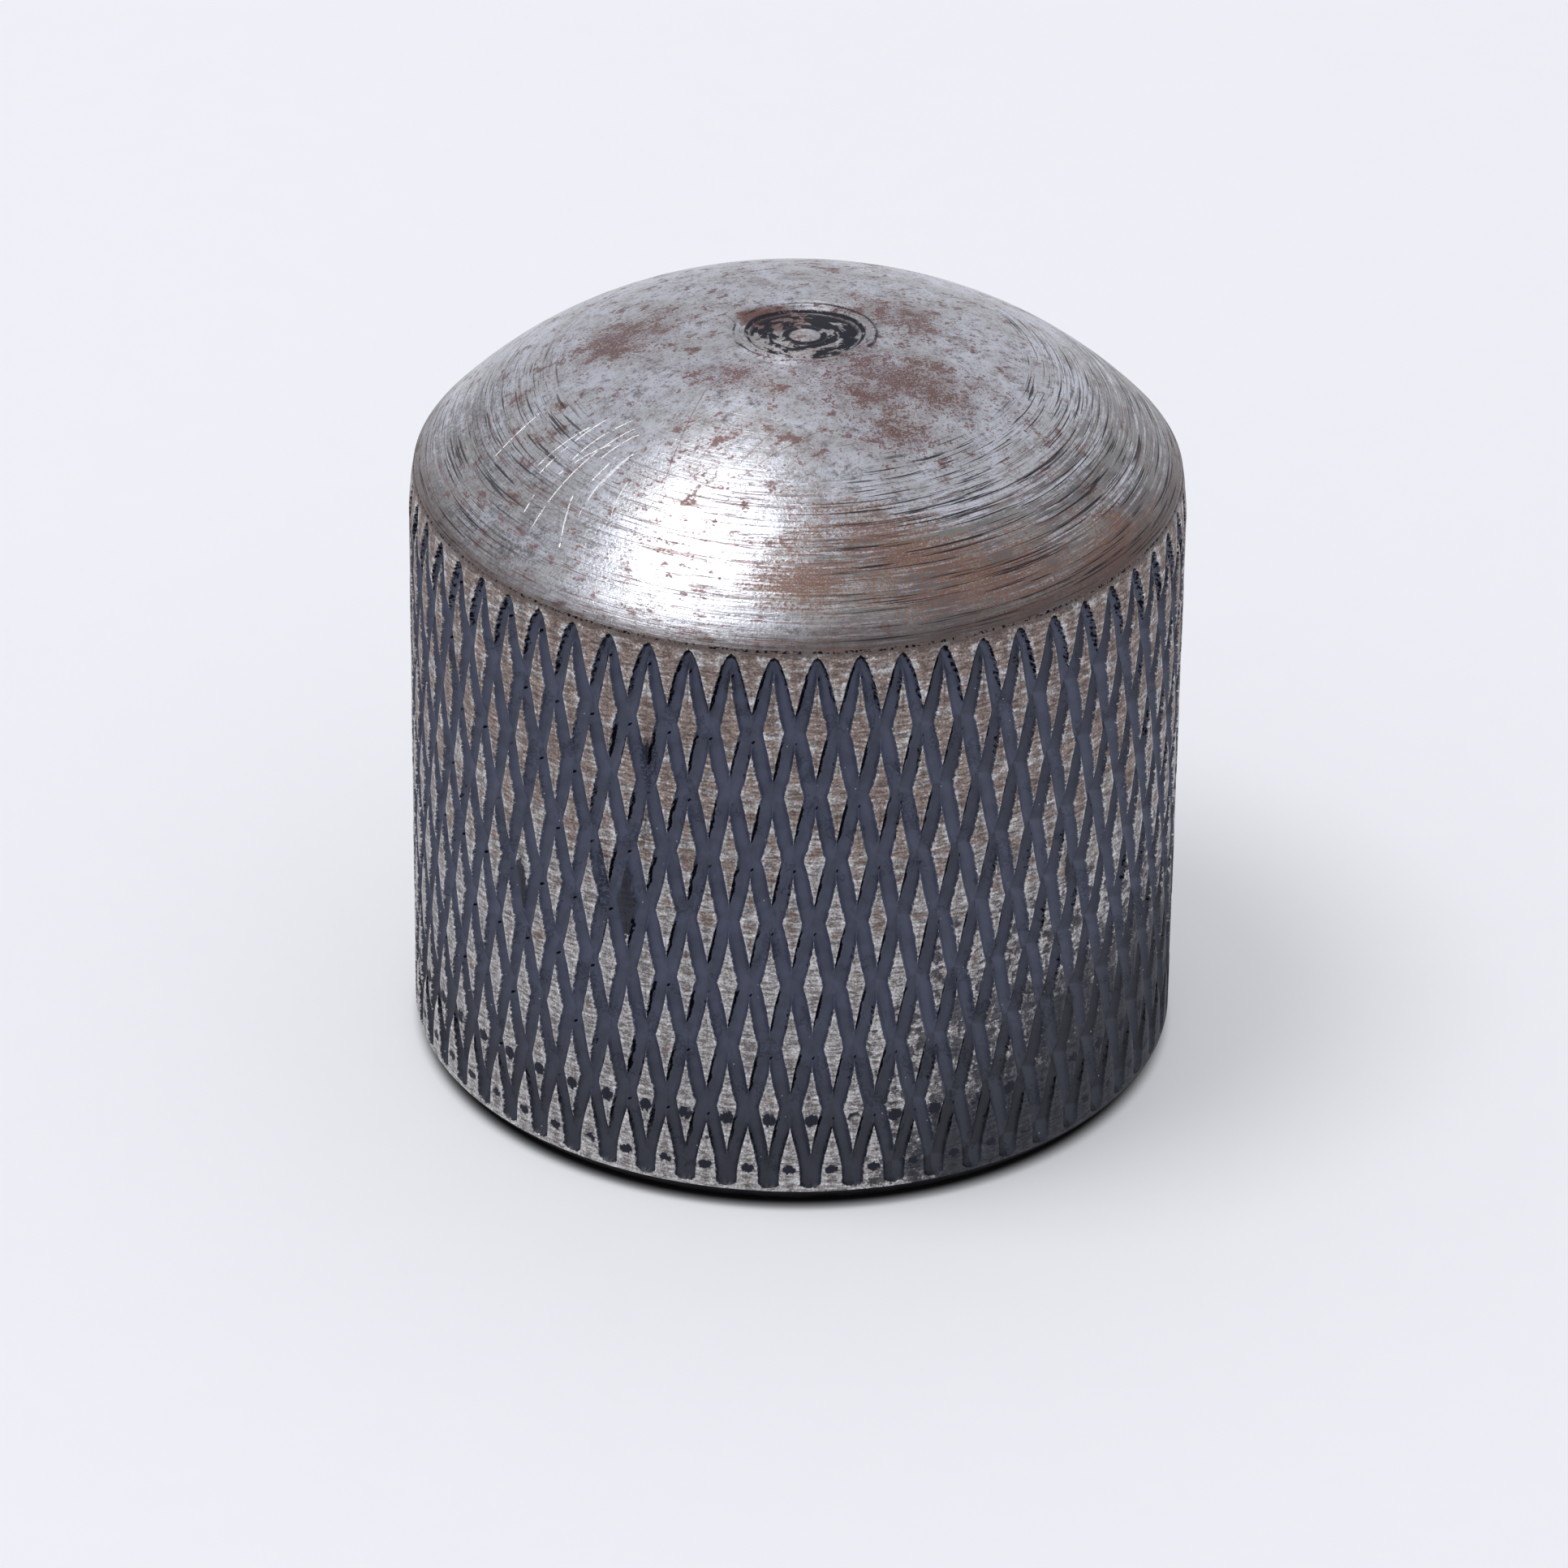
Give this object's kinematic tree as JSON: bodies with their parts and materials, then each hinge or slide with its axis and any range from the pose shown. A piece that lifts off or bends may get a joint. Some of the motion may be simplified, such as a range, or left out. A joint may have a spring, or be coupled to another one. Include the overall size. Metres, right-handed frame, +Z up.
{
  "type": "knurled control knob",
  "caption": "Round dome-topped steel control knob with a diamond-knurled side, a blind shaft bore in its base and a slotted grub screw that locks it on the shaft.",
  "frame": {"origin": "middle of the flat base, where it rests", "axes": "+Z up along the knob's axis, out of the dome; +Y towards the grub screw's side"},
  "size_m": [0.0186, 0.0186, 0.0186],
  "materials": {
    "worn_steel": "bare turned steel with rust, darkened in the knurl",
    "screw_steel": "dark oxidised steel"
  },
  "bodies": {
    "root": {"knob_body": "worn_steel", "set_screw": "screw_steel"}
  },
  "joints": []
}
